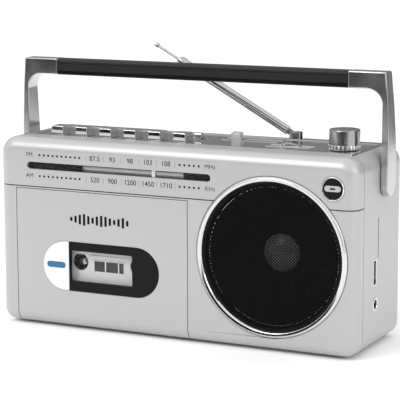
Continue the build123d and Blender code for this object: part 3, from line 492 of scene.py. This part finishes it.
# ---------------------------------------------------------------------------
# Controls. Six plated piano keys on one steel shaft, two slide switches, a
# milled tuning wheel and a toothed volume knob stand in the top plate.
# ---------------------------------------------------------------------------
KEY_HALF = 4.4
KEY_DEEP = 11.0
KEY_FOOT = 113.0
SHAFT = (FRONT_Y + 50, 115.2)
KNOB_SKIRT = 9.6
CAP_THICK = 0.2
TRIM_HALF = 0.3
TRIM_REACH = 4.2
TRIMS = ((12.6, 51.8, FRONT_Y + 54.8), (50.8, 80.8, FRONT_Y + 38.5))
spun = finish("spun_metal", (0.40, 0.40, 0.41), 0.25, metallic=1.0, drift=(0.04, 300),
              grain=(0.05, 2000), wander=0.05, relief=(0.05, 900))
smoky_chrome = finish("smoky_chrome", (0.34, 0.34, 0.35), 0.14, metallic=1.0, drift=(0.04, 200),
                      grain=(0.03, 2000), wander=0.04, relief=(0.05, 900))
clear_grey = finish("clear_grey", (0.70, 0.71, 0.72), 0.08, drift=(0.02, 60), grain=(0.02, 1500), wander=0.02,
                    relief=(0.02, 400), Transmission_Weight=0.5)
for name in ("record", "play", "rewind", "forward", "stop_eject", "pause"):
    low, high = (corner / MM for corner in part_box(f"{name}_key"))
    middle = (low.x + high.x) / 2
    button = bmesh.new()
    block(button, (middle - KEY_HALF, middle + KEY_HALF), (low.y, low.y + KEY_DEEP),
          (KEY_FOOT, high.z - FOOT_LIFT), 0.45, 3)
    block(button, (middle - 1.5, middle + 1.5), (low.y + KEY_DEEP - 1, SHAFT[0] - 2.5),
          (SHAFT[1] - 2, SHAFT[1] + 2))
    turned_x(button, *SHAFT, [(2.1, middle - 4), (3.2, middle - 4), (3.2, middle + 4), (2.1, middle + 4)])
    finished(f"{name}_button", in_row(button), f"{name}_key", chrome, (f"{name}_key",))
knob = broken_edges("volume_knob", edge=0.2)
knob_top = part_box("volume_knob")[1].z
for face in knob.faces:
    if face.calc_center_median().z > knob_top - CAP_THICK * MM:
        face.material_index = 1
    elif face.calc_center_median().z < knob_top - KNOB_SKIRT * MM:
        face.material_index = 2
finished("volume_cap", knob, "volume_knob", (smoky_chrome, spun, chrome), ("volume_knob",))
moulding("tuning_rim", "tuning_wheel", "tuning_wheel", "chrome", chrome, edge=0.15)
moulding("band_slider", "band_knob", "band_knob", "clear_plastic", clear_grey, edge=0.3)
moulding("mode_slider", "mode_knob", "mode_knob", "chrome", chrome, edge=0.3)
PLATE_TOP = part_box("top_panel")[1].z / MM - FOOT_LIFT
trims = bmesh.new()
for left, right, y in TRIMS:
    for edge_y in (y - TRIM_REACH, y + TRIM_REACH):
        block(trims, (left, right), (edge_y - TRIM_HALF, edge_y + TRIM_HALF),
              (PLATE_TOP - 0.1, PLATE_TOP + 0.3), 0.12)
finished("slot_trims", in_row(trims), "case", silver)

# ---------------------------------------------------------------------------
# Tuning dial. The scale is pad-printed on the front; a clear strip fills the
# slot, masked black beyond the ends of the scale, and a white needle slides in
# front of a half-round silver bar whose upper half is painted white as a highlight.
# ---------------------------------------------------------------------------
FM_ROW = 111.8
AM_ROW = 98.1
SLOT_Z = 104.8
RULE_X = [-59.2 + 12.72 * k for k in range(6)]
DOT_PITCH = 3.3
DOT_X = [-93.7 + DOT_PITCH * k for k in range(10)] + [7.7 + DOT_PITCH * k for k in range(5)]
DOT_R = 0.74
NAME_X = -101.3
UNIT_X = 28.6
MASK_Y = (FRONT_Y + 2.93, FRONT_Y + 3.1)
MASK_HALF = 3.6
DIAL_BAR_R = 2.7
DIAL_BAR_LENGTH = 78
DIAL_BAR_Z = SLOT_Z - 0.8
RULE_THIN = 0.15
RULE_TALL = 1.9
print_grey = finish("printing_grey", (0.012, 0.012, 0.013), 0.5, drift=(0.1, 80), grain=(0.15, 2500),
                    relief=(0.1, 2000), Specular_IOR_Level=0.1)
needle_white = finish("needle_white", (0.97, 0.97, 0.97), 0.4, drift=(0.01, 60), grain=(0.01, 1500),
                      relief=(0.02, 900))
moulding("needle", "dial_pointer", "dial_pointer", "white_plastic", needle_white, edge=0.15)
moulding("dial_cover", "dial_lens", "case", "clear_plastic", clear, edge=0.1)
moulding("dial_back", "dial_board", "case", "grey_plastic", black_matte, edge=0)
masks = bmesh.new()
for span, foot in (((-104.6, -63.8), -MASK_HALF), ((8.8, 20.6), -MASK_HALF), ((20.6, 30.4), -1.0)):
    block(masks, span, MASK_Y, (SLOT_Z + foot, SLOT_Z + MASK_HALF))
finished("dial_masks", in_row(masks), "case", black_gloss)
bar = bmesh.new()
place = Matrix.Translation((-26.0, FRONT_Y + 7.2, DIAL_BAR_Z)) @ Matrix.Rotation(math.pi / 2, 4, "Y")
bmesh.ops.create_cone(bar, cap_ends=True, segments=48, radius1=DIAL_BAR_R, radius2=DIAL_BAR_R,
                      depth=DIAL_BAR_LENGTH, matrix=place)
# The upper half of the bar is white gloss over the silver: a painted highlight where light falls on its top.
for face in bar.faces:
    face.material_index = int(face.calc_center_median().z < DIAL_BAR_Z)
finished("dial_bar", in_row(bar), "case", (white_gloss, silver))


def lettering(bm, words, height, bolder=0.0):
    """Adds raised ink lettering to the front, each word with the x and z of its middle."""
    for word, x, z in words:
        curve = bpy.data.curves.new(word, "FONT")
        curve.body = word
        curve.size = height
        curve.align_x = "CENTER"
        curve.align_y = "CENTER"
        curve.extrude = PRINT_PROUD
        curve.offset = bolder
        holder = bpy.data.objects.new(word, curve)
        scene.collection.objects.link(holder)
        bpy.context.view_layer.update()
        worked = holder.evaluated_get(bpy.context.evaluated_depsgraph_get())
        flat = bpy.data.meshes.new_from_object(worked)
        flat.transform(Matrix.Translation((x, FRONT_Y, z)) @ Matrix.Rotation(math.pi / 2, 4, "X"))
        bm.from_mesh(flat)
        bpy.data.objects.remove(holder)


numbers = bmesh.new()
gaps = [(RULE_X[k] + RULE_X[k + 1]) / 2 for k in range(5)]
FM_NUMBERS = ("87.5", "93", "98", "103", "108")
AM_NUMBERS = ("520", "900", "1200", "1450", "1710")
for row, words in ((FM_ROW, FM_NUMBERS), (AM_ROW, AM_NUMBERS)):
    lettering(numbers, [(word, x, row) for word, x in zip(words, gaps)], 4.5, 0.02)
for row, name, unit in ((FM_ROW, "FM", "MHz"), (AM_ROW, "AM", "KHz")):
    lettering(numbers, [(name, NAME_X, row), (unit, UNIT_X, row)], 3.9)
finished("scale_numbers", in_row(numbers), "case", print_grey)
dots = bmesh.new()
for z in (FM_ROW, AM_ROW):
    for x in DOT_X:
        disc_y(dots, x, z, DOT_R, (FRONT_Y - PRINT_PROUD, FRONT_Y + PRINT_SINK), 16)
finished("scale_dots", in_row(dots), "case", print_black)
ticks = bmesh.new()
for x in RULE_X:
    for z in (FM_ROW, AM_ROW):
        block(ticks, (x - RULE_THIN, x + RULE_THIN), (FRONT_Y - PRINT_PROUD, FRONT_Y + PRINT_SINK),
              (z - RULE_TALL, z + RULE_TALL))
pale_ink = finish("printing_pale", (0.22, 0.22, 0.225), 0.5, drift=(0.1, 80), grain=(0.1, 2500),
                  relief=(0.1, 2000))
finished("scale_rules", in_row(ticks), "case", pale_ink)

# ---------------------------------------------------------------------------
# Side sockets. Thin plated rims are pressed round the memory-stick socket and
# the earphone jack in the cabinet's right side.
# ---------------------------------------------------------------------------
SIDE_X = 125.0
STICK_Y = (FRONT_Y + 29.9, FRONT_Y + 34.9)
STICK_Z = (40.2, 55.8)
JACK = (FRONT_Y + 33.8, 27.8)
RIM_HALF = 0.35
RIM_X = (SIDE_X - 0.4, SIDE_X + 0.2)
rims = bmesh.new()
for y in STICK_Y:
    block(rims, RIM_X, (y - RIM_HALF, y + RIM_HALF), (STICK_Z[0] - RIM_HALF, STICK_Z[1] + RIM_HALF), 0.1)
for z in STICK_Z:
    block(rims, RIM_X, STICK_Y, (z - RIM_HALF, z + RIM_HALF), 0.1)
turned_x(rims, *JACK, [(2.9, SIDE_X - 0.4), (4.2, SIDE_X - 0.4), (4.2, SIDE_X + 0.1), (3.7, SIDE_X + 0.3),
                       (3.1, SIDE_X + 0.3), (2.9, SIDE_X + 0.1)], 48)
finished("socket_rims", in_row(rims), "case", chrome)

# ---------------------------------------------------------------------------
# Microphone badge. A turned and plated bezel round a black disc, with a slotted
# bright bar across it, pressed into the dial panel.
# ---------------------------------------------------------------------------
DISC_R = 6.5
BADGE_BAR_BACK = 0.12
badge = broken_edges("mic_badge", edge=0.12)
low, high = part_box("mic_badge")
axis = (low + high) / 2
for face in badge.faces:
    middle = face.calc_center_median()
    if math.hypot(middle.x - axis.x, middle.z - axis.z) < DISC_R * MM:
        face.material_index = 1 if middle.y > (FRONT_Y + BADGE_BAR_BACK) * MM else 2
finished("microphone", badge, "case", (chrome, black_gloss, silver), ("mic_badge",))

# ---------------------------------------------------------------------------
# Speaker. A plated trim ring holds a fine wire mesh in a flat rim; behind it a
# black paper cone with a foam surround and a grey dust cap is glued into a
# pressed steel basket painted black, with a thin bright ring round its edge that
# is a painted highlight on the surround's roll.
# ---------------------------------------------------------------------------
SPEAKER = (69.5, 58.5)
MESH_R = 45.4
MESH_PITCH = 1.35
WIRE = 0.52
CAP_R = 12.4
CAP_BACK = FRONT_Y + 18
HIGHLIGHT_RING_Y = (FRONT_Y + 3.9, FRONT_Y + 4.12)
MESH_Y = (FRONT_Y + 0.9, FRONT_Y + 2.4)
paper = finish("cone_paper", (0.008, 0.008, 0.009), 0.8, drift=(0.2, 120), grain=(0.3, 900),
               relief=(0.4, 1200), Specular_IOR_Level=0.1)
cap_grey = finish("dust_cap", (0.16, 0.16, 0.165), 0.18, drift=(0.05, 120), grain=(0.05, 1500),
                  relief=(0.1, 900))
wire_black = finish("wire_black", (0.004, 0.004, 0.004), 0.35, drift=(0.1, 60), grain=(0.2, 1800),
                    relief=(0.1, 1500), Specular_IOR_Level=0.12)
ring_chrome = finish("ring_chrome", (0.68, 0.68, 0.69), 0.12, metallic=1.0, drift=(0.02, 60),
                     grain=(0.01, 900), wander=0.03, relief=(0.01, 250))
moulding("trim_ring", "speaker_ring", "case", "chrome", ring_chrome, edge=0.25)
moulding("basket", "speaker_basket", "case", "steel", paper, edge=0)
moulding("surround", "speaker_surround", "case", "foot_rubber", paper, edge=0)
cone = broken_edges("speaker_cone", edge=0)
for face in cone.faces:
    middle = face.calc_center_median() / MM
    from_axis = math.hypot(middle.x - SPEAKER[0], middle.z - FOOT_LIFT - SPEAKER[1])
    face.material_index = int(from_axis < CAP_R and middle.y < CAP_BACK)
finished("cone", cone, "speaker_cone", (paper, cap_grey), ("speaker_cone",))
# A thin plated ring round the basket's edge: a painted highlight on the surround's roll.
highlight_ring = bmesh.new()
turned_y(highlight_ring, *SPEAKER, [(43.0, HIGHLIGHT_RING_Y[0]), (43.2, HIGHLIGHT_RING_Y[0]), (43.2, HIGHLIGHT_RING_Y[1]),
                            (43.0, HIGHLIGHT_RING_Y[1])])
finished("surround_highlight_ring", in_row(highlight_ring), "case", ring_chrome)
wires = bmesh.new()
half = MESH_R * 1.42
cells = round(2 * half / MESH_PITCH)
bmesh.ops.create_grid(wires, x_segments=cells, y_segments=cells, size=half)
bmesh.ops.rotate(wires, verts=wires.verts, cent=(0, 0, 0), matrix=Matrix.Rotation(math.pi / 4, 3, "Z"))
outside = [f for f in wires.faces if f.calc_center_median().length > MESH_R]
bmesh.ops.delete(wires, geom=outside, context="FACES")
bmesh.ops.wireframe(wires, faces=wires.faces[:], thickness=WIRE, use_replace=True, use_boundary=True,
                    use_even_offset=True)
upright = Matrix.Rotation(math.pi / 2, 4, "X")
wires.transform(Matrix.Translation((SPEAKER[0], FRONT_Y + 1.25, SPEAKER[1])) @ upright)
turned_y(wires, *SPEAKER, [(44.8, MESH_Y[0]), (46.15, MESH_Y[0]), (46.15, MESH_Y[1]), (44.8, MESH_Y[1])])
finished("speaker_mesh", in_row(wires), "case", wire_black, ("speaker_grille",))

# ---------------------------------------------------------------------------
# Handle. Two plated cast arms swing on pins in the cabinet's sides and carry a
# grooved soft black grip between them.
# ---------------------------------------------------------------------------
BEADS = ((0.9, 2.9, 0.1), (7.6, 7.9, 0.05))
grip_rubber = finish("grip_rubber", (0.010, 0.010, 0.011), 0.45, drift=(0.1, 40), grain=(0.2, 1200),
                     relief=(0.25, 1400), Specular_IOR_Level=0.3)
satin_chrome = finish("satin_chrome", (0.58, 0.58, 0.585), 0.19, metallic=1.0, drift=(0.03, 40),
                      grain=(0.03, 2000), wander=0.04, relief=(0.05, 900))
moulding("arm_left", "handle_arm_left", "handle", "chrome", satin_chrome, edge=0.8)
moulding("arm_right", "handle_arm_right", "handle", "chrome", satin_chrome, edge=0.8)
moulding("grip", "handle_grip", "handle", "grip_rubber", grip_rubber, edge=0.3)
low, high = (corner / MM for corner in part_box("handle_grip"))
beads = bmesh.new()
foot = low.z - FOOT_LIFT
for lower, upper, edge in BEADS:
    block(beads, (low.x + 0.3, high.x - 0.3), (low.y - 0.12, low.y + 0.5), (foot + lower, foot + upper), edge)
finished("grip_beads", in_row(beads), "handle", wire_black)

# ---------------------------------------------------------------------------
# Antenna. Three plated brass tubes that slide in each other, tipped with a
# button, tilt in a forked swivel and lie in a channel along the cabinet's top.
# ---------------------------------------------------------------------------
aerial_chrome = finish("aerial_chrome", (0.48, 0.48, 0.485), 0.08, metallic=1.0, drift=(0.02, 60),
                       grain=(0.01, 900), wander=0.03, relief=(0.01, 250))
for name in ("swivel", "outer", "middle", "tip"):
    moulding(f"aerial_{name}", f"antenna_{name}", f"antenna_{name}", "chrome", aerial_chrome, edge=0.15)

# ---------------------------------------------------------------------------
# Battery cover. A silver moulding with a finger recess and a patch of grip
# ribs, on two pins at its foot.
# ---------------------------------------------------------------------------
RIB_LOW = 46.0
RIB_PITCH = 2.0
ribs = bmesh.new()
for k in range(6):
    z = RIB_LOW + RIB_PITCH * k
    block(ribs, (-8.0, 8.0), (BACK_Y - 0.5, BACK_Y + 1), (z, z + 0.8), 0.2)
cover = carved(broken_edges("battery_door", edge=0.25), in_row(ribs), (silver, silver))
finished("battery_cover", cover, "battery_door", (silver, silver), ("battery_door",))
